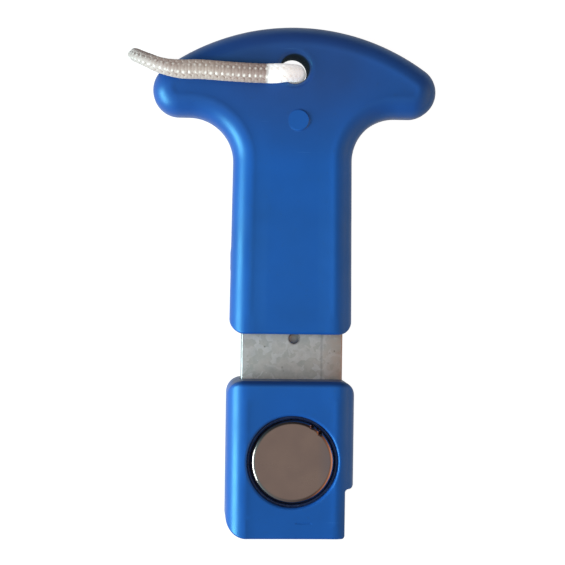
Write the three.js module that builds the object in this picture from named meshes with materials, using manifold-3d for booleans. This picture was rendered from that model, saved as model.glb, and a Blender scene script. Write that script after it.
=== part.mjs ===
// Hand-held magnetic pick-up: a moulded T-handle and a magnet block on one flat steel bar,
// with a braided wrist loop through the handle. Millimetres, +Z up out of the front face,
// +Y towards the crown of the handle. The origin is under the middle, on the resting plane.
import * as THREE from "three";
import Module from "manifold-3d";
import { mergeVertices } from "three/addons/utils/BufferGeometryUtils.js";

const wasm = await Module();
wasm.setup();

// ---------------------------------------------------------------- driving dimensions
const gap = 0.3; // clearance between any two pieces that touch

const overallLength = 155;
const beyond = 200; // reach of the cutting blocks past the tool
const overrun = 20; // how far the drawn sides run on past an end that is cut square
const wall = 2.4; // moulded wall of every shell
const sideRoll = 6.3; // rounding of the long sides of handle and block
const endRound = 1; // rounding of the mouth and of the block's two ends

const barWidth = 31;
const barOffset = 0.5; // the bar sits this far right of the shank's middle
const barThickness = 4;
const barGrip = 42; // length of bar inside the handle
const barPilotDiameter = 2.8; // drilled hole just outside the handle's mouth
const barPilotDepth = 2.6; // it stops short of the back
const barPilotX = 1.1;
const barPilotBelowMouth = 1.4;
const barScrewClearance = 0.6; // round each screw that passes through the bar

const magnetDiameter = 25.4;
const magnetThickness = 10;
const magnetRecess = 0.4; // magnet face below the block's front face
const magnetEdge = 1.2;
const magnetFromEnd = 23.5; // magnet centre above the block's free end
const pocketGap = 1.4; // bond line round the magnet
const pocketRim = 1; // rounding of the pocket's rim
const pocketWall = 2;
const bondTopBelowFace = 2.2;

const blockFlank = 3.45; // moulding on each side of the bar
const blockLength = 47.7;
const blockTopCorner = 4.8;
const blockEndCorner = 6.2;
const notchDepth = 2.8; // step cut into the right flank of the block
const notchLength = 15.3;
const notchWall = 1.2; // plastic between the notch and the bar's cut-back corner
const blockBarStop = 7.5; // bar end above the block's free end

const exposedBar = 13.8; // bar seen between handle and block

const handleWidth = 86.4;
const headShift = 0.45; // the T's head sits this far right of the shank's middle
const crownRadius = 68;
const crownShift = 0.9; // and the middle of the crown's arc this far
const tipRadius = 8; // round end of each arm
const armFillet = 13.5; // inside corner between arm and shank
const shankFlank = 2.3; // moulding on each side of the bar
const shankFlare = 1; // the shank is this much wider at its mouth
const mouthCorner = 4.4;
const markDiameter = 6.4; // round moulding mark on the front face
const markHeight = 0.3;
const markBelowCrown = 28.8;
const markOffset = 1.3;

const strandsThroughHole = 2; // the hole lets a doubled cord through
const lanyardHoleEdge = 1.8; // rounding of the hole's rims
const lanyardHoleBelowCrown = 13.2;
const lanyardCollarWall = 2.4;

const cordDiameter = 4.4;

const screwDiameter = 3;
const screwHeadDiameter = 5.6;
const screwHeadHeight = 2.2;
const screwHeadFlat = 4; // flat top of the pan head
const screwHeadRim = 1.2; // height of the head's straight rim
const screwHeadSink = 0.8; // head below the back face
const screwTipWall = 2.2; // plastic left in front of the screw's tip
const recessWidth = 0.9; // arms of the cross recess
const recessLength = 3.2;
const recessDepth = 1.1;
const bossDiameter = 7;
const armScrewInset = 7.75; // in from the centre of the arm's round end
const armScrewAboveTip = 2.8; // and up from it
const upperScrewAboveBar = 8;
const lowerScrewAboveMouth = 16;
const blockScrewX = 9;
const blockScrewBelowTop = 5.3;
const tongueWidth = 16; // lip that locks the block's free end
const tongueThickness = 1.6;
const tongueReach = 4;
const ribWidth = 1.6;
const ribPitch = 12;

// ---------------------------------------------------------------- derived places
const crownY = overallLength / 2;
const blockEndY = -overallLength / 2;
const blockTopY = blockEndY + blockLength;
const mouthY = blockTopY + exposedBar;
const barTopY = mouthY + barGrip;
const barEndY = blockEndY + blockBarStop;

const blockWidth = barWidth + 2 * (gap + blockFlank);
const shankWidthTop = barWidth + 2 * (gap + shankFlank);
const shankWidthMouth = shankWidthTop + shankFlare;
const lanyardHoleDiameter = strandsThroughHole * cordDiameter;
const blockThickness = 2 * (magnetRecess + magnetThickness + gap) + barThickness;
const midZ = blockThickness / 2;
const handleThickness = blockThickness - 2 * (cordDiameter + gap);
const handleBackZ = midZ - handleThickness / 2;
const handleFrontZ = midZ + handleThickness / 2;
const barBackZ = midZ - barThickness / 2;
const barFrontZ = midZ + barThickness / 2;
const frontSplitZ = midZ + gap / 2;
const rearSplitZ = midZ - gap / 2;

const crownCentreY = crownY - crownRadius;
// The round end of an arm touches the crown's arc from inside.
const armTip = (x) => [
  x, crownCentreY + Math.sqrt((crownRadius - tipRadius) ** 2 - (x - crownShift) ** 2),
];
const tipLeft = armTip(headShift - handleWidth / 2 + tipRadius);
const tipRight = armTip(headShift + handleWidth / 2 - tipRadius);
const shortArm = Math.min(-tipLeft[0], tipRight[0]);
const filletRadius = Math.min(armFillet, shortArm - shankWidthTop / 2); // ends where the arm does
const filletX = shankWidthTop / 2 + filletRadius;
const filletYLeft = tipLeft[1] - tipRadius - filletRadius;
const filletYRight = tipRight[1] - tipRadius - filletRadius;
const holeY = crownY - lanyardHoleBelowCrown;
const magnetX = barOffset; // the magnet is centred on the bar
const magnetY = blockEndY + magnetFromEnd;
const pocketDiameter = magnetDiameter + 2 * pocketGap;

const handleScrews = {
  handle_screw_arm_left: [tipLeft[0] + armScrewInset, tipLeft[1] + armScrewAboveTip],
  handle_screw_arm_right: [tipRight[0] - armScrewInset, tipRight[1] + armScrewAboveTip],
  handle_screw_upper: [0, barTopY + upperScrewAboveBar],
  handle_screw_lower: [0, mouthY + lowerScrewAboveMouth],
};
const blockScrews = {
  block_screw_left: [-blockScrewX, blockTopY - blockScrewBelowTop],
  block_screw_right: [blockScrewX, blockTopY - blockScrewBelowTop],
};

// ---------------------------------------------------------------- solids
function solid(geometry) {
  const bare = geometry.clone();
  bare.deleteAttribute("normal");
  bare.deleteAttribute("uv");
  const merged = mergeVertices(bare);
  const corners = merged.index.array;
  const faces = [];
  for (let i = 0; i < corners.length; i += 3) {
    const [a, b, c] = corners.slice(i, i + 3);
    if (a !== b && b !== c && c !== a) faces.push(a, b, c);
  }
  const points = new Float32Array(merged.attributes.position.array);
  return new wasm.Manifold(
    new wasm.Mesh({ numProp: 3, vertProperties: points, triVerts: new Uint32Array(faces) }),
  );
}

function geometryOf(body) {
  const mesh = body.getMesh();
  const geometry = new THREE.BufferGeometry();
  geometry.setAttribute("position", new THREE.BufferAttribute(mesh.vertProperties, 3));
  geometry.setIndex(new THREE.BufferAttribute(mesh.triVerts, 1));
  geometry.computeVertexNormals();
  return geometry;
}

// A slab of the outline from z0 to z1, with both outer edges rounded when edge is given.
function slab(outline, z0, z1, edge = 0, bands = 3) {
  const geometry = new THREE.ExtrudeGeometry(outline, {
    depth: z1 - z0 - 2 * edge,
    steps: 1,
    curveSegments: 4,
    bevelEnabled: edge > 0,
    bevelThickness: edge,
    bevelSize: edge,
    bevelOffset: -edge,
    bevelSegments: bands,
  });
  geometry.translate(0, 0, z0 + edge);
  return solid(geometry);
}

function block(x0, x1, y0, y1, z0, z1) {
  const geometry = new THREE.BoxGeometry(x1 - x0, y1 - y0, z1 - z0);
  geometry.translate((x0 + x1) / 2, (y0 + y1) / 2, (z0 + z1) / 2);
  return solid(geometry);
}

function rod(x, y, diameter, z0, z1, sides = 20) {
  const geometry = new THREE.CylinderGeometry(diameter / 2, diameter / 2, z1 - z0, sides);
  geometry.rotateX(Math.PI / 2);
  geometry.translate(x, y, (z0 + z1) / 2);
  return solid(geometry);
}

// A turned solid from [radius, z] points, about the vertical axis at x, y.
function turned(x, y, profile, sides = 32) {
  const points = profile.map(([radius, z]) => new THREE.Vector2(radius, z));
  const geometry = new THREE.LatheGeometry(points, sides);
  geometry.rotateX(Math.PI / 2);
  geometry.translate(x, y, 0);
  return solid(geometry);
}

// Everything above or below a height, as a cutting tool.
const above = (z) => block(-beyond, beyond, -beyond, beyond, z, beyond);
const below = (z) => block(-beyond, beyond, -beyond, beyond, -beyond, z);

const join = (...bodies) => bodies.reduce((all, one) => all.add(one));
const cut = (body, ...tools) => tools.reduce((rest, tool) => rest.subtract(tool), body);

// ---------------------------------------------------------------- outlines
// The T-handle, drawn inset by a distance: crown arc, arm ends, fillets, shank and mouth. An open
// one runs straight on past the mouth.
function handleOutline(inset = 0, open = false) {
  const leanTo = ([x, y]) => Math.atan2(y - crownCentreY, x - crownShift);
  const [leanRight, leanLeft] = [leanTo(tipRight), leanTo(tipLeft)];
  const cornerX = shankWidthMouth / 2 - mouthCorner;
  const cornerY = mouthY + mouthCorner;
  const corner = Math.max(mouthCorner - inset, 0.2);
  const shift = mouthCorner - corner - inset; // keeps the inset corner inside the wall
  const shape = new THREE.Shape();
  shape.absarc(crownShift, crownCentreY, crownRadius - inset, leanRight, leanLeft, false);
  shape.absarc(...tipLeft, tipRadius - inset, leanLeft, 1.5 * Math.PI, false);
  shape.absarc(-filletX, filletYLeft, filletRadius + inset, Math.PI / 2, 0, true);
  if (open) {
    const sideAt = (filletY) => shankWidthMouth / 2 - inset
      + (shankFlare / 2 / (filletY - cornerY)) * overrun;
    shape.lineTo(-sideAt(filletYLeft), cornerY - overrun);
    shape.lineTo(sideAt(filletYRight), cornerY - overrun);
  } else {
    shape.absarc(-cornerX - shift, cornerY - shift, corner, Math.PI, 1.5 * Math.PI, false);
    shape.absarc(cornerX + shift, cornerY - shift, corner, 1.5 * Math.PI, 2 * Math.PI, false);
  }
  shape.absarc(filletX, filletYRight, filletRadius + inset, Math.PI, Math.PI / 2, true);
  shape.absarc(...tipRight, tipRadius - inset, -Math.PI / 2, leanRight, false);
  return shape;
}

// The magnet block without its notch, drawn inset by a distance. An open one runs straight on
// past both ends.
function blockOutline(inset = 0, open = false) {
  const half = blockWidth / 2 - inset;
  const low = blockEndY + inset;
  const high = blockTopY - inset;
  const top = Math.max(blockTopCorner - inset, 0.2);
  const end = Math.max(blockEndCorner - inset, 0.2);
  const shape = new THREE.Shape();
  if (open) {
    shape.moveTo(half, high + overrun);
    shape.lineTo(-half, high + overrun);
    shape.lineTo(-half, low - overrun);
    shape.lineTo(half, low - overrun);
    return shape;
  }
  shape.absarc(half - top, high - top, top, 0, Math.PI / 2, false);
  shape.absarc(-half + top, high - top, top, Math.PI / 2, Math.PI, false);
  shape.absarc(-half + end, low + end, end, Math.PI, 1.5 * Math.PI, false);
  shape.absarc(half - end, low + end, end, 1.5 * Math.PI, 2 * Math.PI, false);
  return shape;
}

// ---------------------------------------------------------------- details shared by the shells
// A moulded body drawn inset by a distance: sides rolled over, ends cut nearly square.
function moulded(outline, z0, z1, inset = 0) {
  const rolled = slab(outline(inset, true), z0 + inset, z1 - inset, sideRoll - inset);
  const ended = slab(outline(inset), z0 + inset, z1 - inset, inset ? 0 : endRound, 2);
  return rolled.intersect(ended);
}

// A bore with its front rim rounded, as a cutting tool.
function rimmedBore(x, y, diameter, rim, z0, z1, steps = 4) {
  const profile = [[0, z0], [diameter / 2, z0]];
  for (let i = 0; i <= steps; i += 1) {
    const turn = (i / steps) * (Math.PI / 2);
    const radius = diameter / 2 + rim * (1 - Math.cos(turn));
    profile.push([radius, z1 - rim + rim * Math.sin(turn)]);
  }
  const mouth = diameter / 2 + rim;
  profile.push([mouth, z1 + 1], [0, z1 + 1]);
  return turned(x, y, profile);
}

// The same bore, with its rounded rim on a back face at z0.
function rimmedBoreBack(x, y, diameter, rim, z0, z1, steps = 4) {
  const mouth = diameter / 2 + rim;
  const profile = [[0, z0 - 1], [mouth, z0 - 1]];
  for (let i = steps; i >= 0; i -= 1) {
    const turn = (i / steps) * (Math.PI / 2);
    const radius = diameter / 2 + rim * (1 - Math.cos(turn));
    profile.push([radius, z0 + rim - rim * Math.sin(turn)]);
  }
  profile.push([diameter / 2, z1], [0, z1]);
  return turned(x, y, profile);
}

const screwHole = screwDiameter + 2 * gap;
const headHole = screwHeadDiameter + 2 * gap;
const seatBoss = headHole + 2 * ribWidth;

// Bosses in a front shell, from the height they start at to the front wall.
function frontBosses(places, z0, frontZ) {
  return places.map(([x, y]) => rod(x, y, bossDiameter, z0, frontZ - wall / 2));
}

function frontScrewHoles(places, frontZ) {
  const tip = frontZ - screwTipWall;
  return places.map(([x, y]) => rod(x, y, screwHole, midZ - barThickness, tip + gap, 12));
}

function rearBosses(places, backZ, z1) {
  return places.map(([x, y]) => rod(x, y, seatBoss, backZ + wall / 2, z1));
}

function rearScrewHoles(places, backZ) {
  const seat = backZ + screwHeadSink + screwHeadHeight + gap;
  return places.flatMap(([x, y]) => [
    rod(x, y, screwHole, backZ, midZ + barThickness, 12),
    rod(x, y, headHole, backZ - 1, seat, 20),
  ]);
}

// Ribs across a shell from y0 to y1, which end short of the bar.
function ribs(halfWidth, y0, y1, z0, z1) {
  const made = [];
  for (let y = y0; y < y1; y += ribPitch) {
    made.push(block(-halfWidth, halfWidth, y - ribWidth / 2, y + ribWidth / 2, z0, z1));
  }
  return made;
}

// The flat bar grown by a margin, with its right corner cut back beside the block's notch.
const notchX = blockWidth / 2 - notchDepth;
const notchTopY = blockEndY + notchLength;
function flatBar(grown = 0) {
  const plate = block(
    barOffset - barWidth / 2 - grown, barOffset + barWidth / 2 + grown,
    barEndY - grown, barTopY + grown,
    barBackZ - grown, barFrontZ + grown,
  );
  const cornerX = notchX - notchWall - gap + grown;
  const cornerY = notchTopY + notchWall + gap - grown;
  return cut(plate, block(cornerX, beyond, -beyond, cornerY, -beyond, beyond));
}
const barSpace = flatBar(gap);

// ---------------------------------------------------------------- handle shells
const handleBody = moulded(handleOutline, handleBackZ, handleFrontZ);
const handleHollow = moulded(handleOutline, handleBackZ, handleFrontZ, wall);
const handlePlaces = Object.values(handleScrews);
const ribStart = mouthY + ribPitch / 2;
const ribHalf = shankWidthTop / 2 - wall / 2;
const collarDiameter = lanyardHoleDiameter + 2 * lanyardCollarWall;

const handleFront = () => {
  const half = cut(handleBody, below(frontSplitZ));
  const inside = join(
    ...frontBosses(handlePlaces, frontSplitZ, handleFrontZ),
    ...ribs(ribHalf, ribStart, barTopY, barFrontZ + gap, handleFrontZ - wall / 2),
    rod(0, holeY, collarDiameter, frontSplitZ, handleFrontZ - wall / 2, 32),
  );
  const mark = rod(markOffset, crownY - markBelowCrown, markDiameter,
    handleFrontZ - wall / 2, handleFrontZ + markHeight, 32);
  return cut(
    join(cut(half, handleHollow), half.intersect(inside), mark),
    barSpace,
    ...frontScrewHoles(handlePlaces, handleFrontZ),
    rimmedBore(0, holeY, lanyardHoleDiameter, lanyardHoleEdge, midZ - 1, handleFrontZ),
  );
};

const handleRear = () => {
  const half = cut(handleBody, above(rearSplitZ));
  const inside = join(
    ...rearBosses(handlePlaces, handleBackZ, rearSplitZ),
    ...ribs(ribHalf, ribStart, barTopY, handleBackZ + wall / 2, barBackZ - gap),
    rod(0, holeY, collarDiameter, handleBackZ + wall / 2, rearSplitZ, 32),
  );
  return cut(
    join(cut(half, handleHollow), half.intersect(inside)),
    barSpace,
    ...rearScrewHoles(handlePlaces, handleBackZ),
    rimmedBoreBack(0, holeY, lanyardHoleDiameter, lanyardHoleEdge, handleBackZ, midZ + 1),
  );
};

// ---------------------------------------------------------------- block shells
const notch = block(notchX, blockWidth, -beyond, notchTopY, -beyond, beyond);
const blockBody = moulded(blockOutline, 0, blockThickness).subtract(notch);
const blockPlaces = Object.values(blockScrews);
const notchLining = block(
  notchX - wall, blockWidth, -beyond, notchTopY + wall, -beyond, beyond,
);
const blockHollow = moulded(blockOutline, 0, blockThickness, wall).subtract(notchLining);

const blockFront = () => {
  const half = cut(blockBody, below(frontSplitZ));
  const inside = join(
    ...frontBosses(blockPlaces, frontSplitZ, blockThickness),
    rod(magnetX, magnetY, pocketDiameter + 2 * pocketWall, frontSplitZ, blockThickness - wall / 2, 48),
  );
  return cut(
    join(cut(half, blockHollow), half.intersect(inside)),
    barSpace,
    ...frontScrewHoles(blockPlaces, blockThickness),
    rimmedBore(magnetX, magnetY, pocketDiameter, pocketRim, midZ - 1, blockThickness),
  );
};

const blockRear = () => {
  const half = cut(blockBody, above(rearSplitZ));
  const ribY = blockEndY + blockBarStop + ribPitch / 2;
  const inside = join(
    ...rearBosses(blockPlaces, 0, rearSplitZ),
    ...ribs(blockWidth / 2 - wall / 2, ribY, blockTopY - ribPitch / 2, wall / 2, barBackZ - gap),
  );
  const endWall = blockEndY + wall;
  const tongue = join(
    block(-tongueWidth / 2, tongueWidth / 2, endWall + gap, endWall + gap + tongueThickness,
      wall / 2, frontSplitZ + tongueReach),
    block(-tongueWidth / 2, tongueWidth / 2, endWall - gap, endWall + 2 * gap,
      wall / 2, rearSplitZ),
  );
  return cut(
    join(cut(half, blockHollow), half.intersect(inside), tongue),
    barSpace,
    ...rearScrewHoles(blockPlaces, 0),
  );
};

// ---------------------------------------------------------------- bar, magnet, bond
const bar = () => {
  const through = [...handlePlaces, ...blockPlaces].filter(([, y]) => y < barTopY);
  const clearance = screwDiameter + 2 * barScrewClearance;
  return cut(
    flatBar(),
    ...through.map(([x, y]) => rod(x, y, clearance, barBackZ - 1, barFrontZ + 1)),
    rod(barPilotX, mouthY - barPilotBelowMouth, barPilotDiameter,
      barFrontZ - barPilotDepth, barFrontZ + 1),
  );
};

const magnet = () => {
  const low = barFrontZ + gap;
  const high = blockThickness - magnetRecess;
  const radius = magnetDiameter / 2;
  const profile = [[0, low]];
  const edgeSteps = 3;
  for (const [centre, start] of [[low + magnetEdge, -Math.PI / 2], [high - magnetEdge, 0]]) {
    for (let i = 0; i <= edgeSteps; i += 1) {
      const turn = start + (i / edgeSteps) * (Math.PI / 2);
      const flank = radius - magnetEdge + magnetEdge * Math.cos(turn);
      profile.push([flank, centre + magnetEdge * Math.sin(turn)]);
    }
  }
  profile.push([0, high]);
  return turned(magnetX, magnetY, profile, 40);
};

const bond = () => {
  const inner = magnetDiameter / 2 + gap;
  const outer = pocketDiameter / 2 - gap;
  const low = barFrontZ + gap;
  const high = blockThickness - bondTopBelowFace;
  const profile = [[inner, low], [outer, low], [outer, high], [inner, high], [inner, low]];
  return turned(magnetX, magnetY, profile, 40);
};

// ---------------------------------------------------------------- screws
// Pan-head self-tapping screw, driven from the back: head at the bottom, tip at the top.
function screw([x, y], backZ, frontZ) {
  const headZ = backZ + screwHeadSink;
  const seatZ = headZ + screwHeadHeight;
  const tipZ = frontZ - screwTipWall;
  const head = screwHeadDiameter / 2;
  const shank = screwDiameter / 2;
  const body = turned(x, y, [
    [0, headZ],
    [screwHeadFlat / 2, headZ],
    [head, seatZ - screwHeadRim],
    [head, seatZ],
    [shank, seatZ],
    [shank, tipZ - screwDiameter],
    [0, tipZ],
  ], 16);
  const [arm, reach] = [recessWidth / 2, recessLength / 2];
  const bottom = headZ + recessDepth;
  return cut(
    body,
    block(x - reach, x + reach, y - arm, y + arm, headZ - 1, bottom),
    block(x - arm, x + arm, y - reach, y + reach, headZ - 1, bottom),
  );
}

// ---------------------------------------------------------------- wrist loop
// The loop's route: up through the hole, over the left arm, round its end, back under the
// handle and up into the hole again. Each point is [x, y, level] from the middle of the hole,
// where level runs from -1, the strand behind the handle, to 1, the strand on its front.
const strandRise = handleThickness / 2 + gap + cordDiameter / 2;
const endLevel = gap / 2 / strandRise; // the two ends meet in the middle of the hole
const cordRoute = [
  [1.6, -1.2, endLevel],
  [1.5, -1.2, 0.25],
  [0.5, -1.3, 0.6],
  [-2.9, -1.7, 0.93],
  [-7.6, -2.1, 1],
  [-14.0, -2.0, 1],
  [-21.0, -1.7, 1],
  [-28.5, -1.3, 1],
  [-34.5, -1.3, 1],
  [-39.0, -0.7, 1],
  [-43.9, 1.0, 0.85],
  [-47.4, 2.9, 0.49],
  [-48.7, 4.2, 0],
  [-48.0, 5.0, -0.49],
  [-44.6, 4.2, -0.85],
  [-39.7, 2.4, -0.985],
  [-33.5, 1.7, -1],
  [-25.0, 1.0, -1],
  [-16.0, 0.2, -1],
  [-7.6, -0.6, -0.99],
  [-2.9, -1.1, -0.92],
  [0.5, -1.2, -0.6],
  [1.5, -1.2, -0.25],
  [1.6, -1.2, -endLevel],
];
const cordSides = 10;
const cordSteps = 44;

function cord() {
  const route = cordRoute.map(
    ([x, y, level]) => new THREE.Vector3(x, holeY + y, midZ + level * strandRise),
  );
  const section = new THREE.Shape();
  section.absarc(0, 0, cordDiameter / 2, 0, 2 * Math.PI, false);
  return solid(new THREE.ExtrudeGeometry(section, {
    steps: cordSteps,
    curveSegments: cordSides / 2,
    bevelEnabled: false,
    extrudePath: new THREE.CatmullRomCurve3(route),
  }));
}

// ---------------------------------------------------------------- the assembly
const finishes = {
  blueMoulding: { color: 0x2458a4, roughness: 0.45, metalness: 0 },
  galvanisedSteel: { color: 0x969694, roughness: 0.5, metalness: 0.9 },
  nickelPlate: { color: 0xa79a90, roughness: 0.15, metalness: 1 },
  epoxy: { color: 0x1b1c20, roughness: 0.4, metalness: 0 },
  zincPlate: { color: 0xb9bcc0, roughness: 0.35, metalness: 1 },
  whiteNylon: { color: 0xcfc8c3, roughness: 0.85, metalness: 0 },
};

const tool = new THREE.Group();

function piece(name, body, finish) {
  const mesh = new THREE.Mesh(geometryOf(body), new THREE.MeshStandardMaterial(finishes[finish]));
  mesh.name = name;
  tool.add(mesh);
}

piece("handle_front_shell", handleFront(), "blueMoulding");
piece("handle_rear_shell", handleRear(), "blueMoulding");
piece("block_front_shell", blockFront(), "blueMoulding");
piece("block_rear_shell", blockRear(), "blueMoulding");
piece("core_bar", bar(), "galvanisedSteel");
piece("magnet_disc", magnet(), "nickelPlate");
piece("magnet_bond", bond(), "epoxy");
for (const [name, place] of Object.entries(handleScrews)) {
  piece(name, screw(place, handleBackZ, handleFrontZ), "zincPlate");
}
for (const [name, place] of Object.entries(blockScrews)) {
  piece(name, screw(place, 0, blockThickness), "zincPlate");
}
piece("lanyard_cord", cord(), "whiteNylon");

export default tool;
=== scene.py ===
# Hand-held magnetic pick-up: blue moulded T-handle and magnet block on a flat galvanised bar, with
# a braided nylon wrist loop. Each section below is one piece of it, in the order of assembly.
# Lengths are written in millimetres and turned to metres as the meshes are made; +Z is out of the
# magnet's face and +Y runs from the block to the crown of the handle.
import math

import bmesh
import bpy
import numpy as np
from mathutils import Matrix, Vector
from mathutils.geometry import delaunay_2d_cdt


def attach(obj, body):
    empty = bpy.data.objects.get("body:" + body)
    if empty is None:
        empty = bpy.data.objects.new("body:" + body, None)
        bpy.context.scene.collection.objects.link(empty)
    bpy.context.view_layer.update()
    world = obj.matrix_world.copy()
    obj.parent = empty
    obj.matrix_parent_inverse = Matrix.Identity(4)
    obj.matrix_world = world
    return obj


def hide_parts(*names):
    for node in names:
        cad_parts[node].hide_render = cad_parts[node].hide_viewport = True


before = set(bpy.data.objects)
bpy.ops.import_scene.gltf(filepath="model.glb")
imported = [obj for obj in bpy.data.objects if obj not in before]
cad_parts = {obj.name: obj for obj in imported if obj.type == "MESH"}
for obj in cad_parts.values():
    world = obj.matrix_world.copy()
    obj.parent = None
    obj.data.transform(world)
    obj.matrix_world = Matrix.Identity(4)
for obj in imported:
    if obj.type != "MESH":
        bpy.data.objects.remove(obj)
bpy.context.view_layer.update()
mm = 0.001

# ------------------------------------------------------------------ camera
# A hand-held close view from straight above, a little to the left of the tool.
view_distance = 450 * mm
view_target = Vector((-2.95, -0.35, 20.0)) * mm
view_tilt = math.radians(3.5)
view_roll = math.radians(0.757)
seen_width = 170.5 * mm

camera = bpy.data.objects.new("camera", bpy.data.cameras.new("camera"))
bpy.context.scene.collection.objects.link(camera)
bpy.context.scene.camera = camera
camera.data.sensor_width = 36
camera.data.lens = 36 * view_distance / seen_width
camera.data.clip_start = 0.01
camera.data.clip_end = 20
back = Vector((-math.sin(view_tilt), 0, math.cos(view_tilt)))
side = Vector((0, 1, 0)).cross(back)
facing = Matrix((side, back.cross(side), back)).transposed()
camera.location = view_target + back * view_distance
camera.rotation_mode = "QUATERNION"
camera.rotation_quaternion = (facing @ Matrix.Rotation(view_roll, 3, "Z")).to_quaternion()

# ------------------------------------------------------------------ wrist loop
# White nylon cord, braided from eight strands over a core and spliced into a closed loop. The
# splice is buried in the front strand, which is wider there. The loop passes through the hole in
# the crown and lies round the left arm.
cord_diameter = 4.4
splice_width = 5.9
mid_z = 12.7
strand_rise = 10.5  # from the handle's mid-plane to the front or the rear strand
hole_y = 64.3
loop_route = [  # x and y from the centre of the hole, z as a share of strand_rise
    (1.6, -1.2, 0.0143), (1.5, -1.2, 0.25), (0.5, -1.3, 0.6), (-2.9, -1.7, 0.93),
    (-7.6, -2.1, 1), (-14.0, -2.0, 1), (-21.0, -1.7, 1), (-28.5, -1.3, 1),
    (-34.5, -1.3, 1), (-39.0, -0.7, 1), (-43.9, 1.0, 0.85), (-47.4, 2.9, 0.49),
    (-48.7, 4.2, 0), (-48.0, 5.0, -0.49), (-44.6, 4.2, -0.85), (-39.7, 2.4, -0.985),
    (-33.5, 1.7, -1), (-25.0, 1.0, -1), (-16.0, 0.2, -1), (-7.6, -0.6, -0.99),
    (-2.9, -1.1, -0.92), (0.5, -1.2, -0.6), (1.5, -1.2, -0.25), (1.6, -1.2, -0.0143),
]
route_points = np.array([(x, hole_y + y, mid_z + z * strand_rise) for x, y, z in loop_route])
pair_count = 4  # strands that wind each way
stitch_pitch = 2.0
strand_width = 1.95
strand_thickness = 0.95
strand_weave = 0.17  # how far a strand rises and dips as it crosses the others
strand_sides = 10
strand_step = 0.26
core_radius = 1.7
core_margin = 1.0  # from the cord's outside to the core's, across the cord
pressed_from = -9.2  # x where the cord is pressed smooth, just before the hole
pressed_fade = 1.5
widening_x, widening_run = -45.0, 14.0  # x where the splice begins, and how far it takes to widen
narrowing_x, narrowing_run = -1.5, 4.0  # x at the hole, where it has narrowed, and over how far
strained_x, strained_run = -42.0, 4.0  # x where the cord is strained round the arm
strained_width, strained_height = 0.3, 0.2  # what that takes off its half width and half height
front_fade = 3.0  # above mid_z, where a point counts fully as on the front strand
slack = 0.05  # the strands' crests stay this far inside the cord's height
core_swell = 0.35  # the core fills out between the strands where they are pressed flat
pressed_flat, pressed_wide = 0.8, 0.3  # shares by which pressing flattens the weave and spreads it
highlight_dot_row = 0.46  # painted highlights, as on raised stitches, show in two rows of dots, this far either side of the crest
highlight_dot_pitch = 1.65


def linear(code):
    """An sRGB hex colour as a linear colour with alpha."""
    parts = [int(code[i:i + 2], 16) / 255 for i in (1, 3, 5)]
    return [c / 12.92 if c <= 0.04045 else ((c + 0.055) / 1.055) ** 2.4 for c in parts] + [1.0]


def set_inputs(tree, node, **values):
    """Sets or links a node's inputs, each by its name or, as i0, by its number."""
    for key, value in values.items():
        name = int(key[1:]) if key[0] == "i" and key[1:].isdigit() else key.replace("_", " ")
        socket = node.inputs[name]
        if isinstance(value, bpy.types.NodeSocket):
            tree.links.new(value, socket)
        else:
            socket.default_value = value


def add_node(tree, kind, settings=None, stops=(), **values):
    """A new node's outputs, with its settings, its inputs and any (position, colour) stops given
    to it. A stop's colour may be one grey level."""
    node = tree.nodes.new(kind)
    for key, value in (settings or {}).items():
        setattr(node, key, value)
    if stops:
        ends = node.color_ramp.elements
        while len(ends) < len(stops):
            ends.new(0.5)
        for end, (position, colour) in zip(ends, stops):
            end.position = position
            end.color = [colour] * 3 + [1] if isinstance(colour, float) else colour
    set_inputs(tree, node, **values)
    return node.outputs


def start_material(name):
    """A named material with its node tree, its principled shader and the object coordinates."""
    material = bpy.data.materials.new(name)
    material.use_nodes = True
    tree = material.node_tree
    place = add_node(tree, "ShaderNodeTexCoord")["Object"]
    return material, tree, tree.nodes["Principled BSDF"], place


mixing = {"data_type": "RGBA"}  # a Mix node for colours: its share is i0, the colours i6 and i7
multiplying = {"data_type": "RGBA", "blend_type": "MULTIPLY"}


def add_piece(name, corners, faces, material, body="tool_body", smooth_below=35):
    """A mesh object from corners in millimetres, smooth except across sharp edges."""
    mesh = bpy.data.meshes.new(name)
    mesh.from_pydata([tuple(c) for c in np.asarray(corners) * mm], [], faces)
    mesh.validate()
    mesh.shade_smooth()
    if smooth_below:
        mesh.set_sharp_from_angle(angle=math.radians(smooth_below))
    mesh.materials.append(material)
    piece = bpy.data.objects.new(name, mesh)
    bpy.context.scene.collection.objects.link(piece)
    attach(piece, body)
    return piece


def tube_faces(rows, sides):
    """Quads over rows of points, each row a ring and the last row next to the first."""
    faces = []
    for i in range(rows):
        a, b = i * sides, (i + 1) % rows * sides
        for j in range(sides):
            k = (j + 1) % sides
            faces.append((a + j, b + j, b + k, a + k))
    return faces


def smooth_loop(points, spacing):
    """A closed centripetal Catmull-Rom curve through points, resampled at an even spacing."""
    count = len(points)
    fine = []
    for i in range(count):
        p = [points[(i + k - 1) % count] for k in range(4)]
        t = [0.0]
        for a, b in zip(p, p[1:]):
            t.append(t[-1] + max(np.linalg.norm(b - a), 1e-6) ** 0.5)
        for u in np.linspace(t[1], t[2], 40, endpoint=False):
            a = [((t[k + 1] - u) * p[k] + (u - t[k]) * p[k + 1]) / (t[k + 1] - t[k]) for k in range(3)]
            b = [((t[k + 2] - u) * a[k] + (u - t[k]) * a[k + 1]) / (t[k + 2] - t[k]) for k in range(2)]
            fine.append(((t[2] - u) * b[0] + (u - t[1]) * b[1]) / (t[2] - t[1]))
    fine = np.array(fine + fine[:1])
    along = np.concatenate([[0], np.cumsum(np.linalg.norm(np.diff(fine, axis=0), axis=1))])
    steps = int(round(along[-1] / spacing))
    wanted = np.linspace(0, along[-1], steps, endpoint=False)
    return np.array([np.interp(wanted, along, fine[:, k]) for k in range(3)]).T, along[-1]


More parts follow.
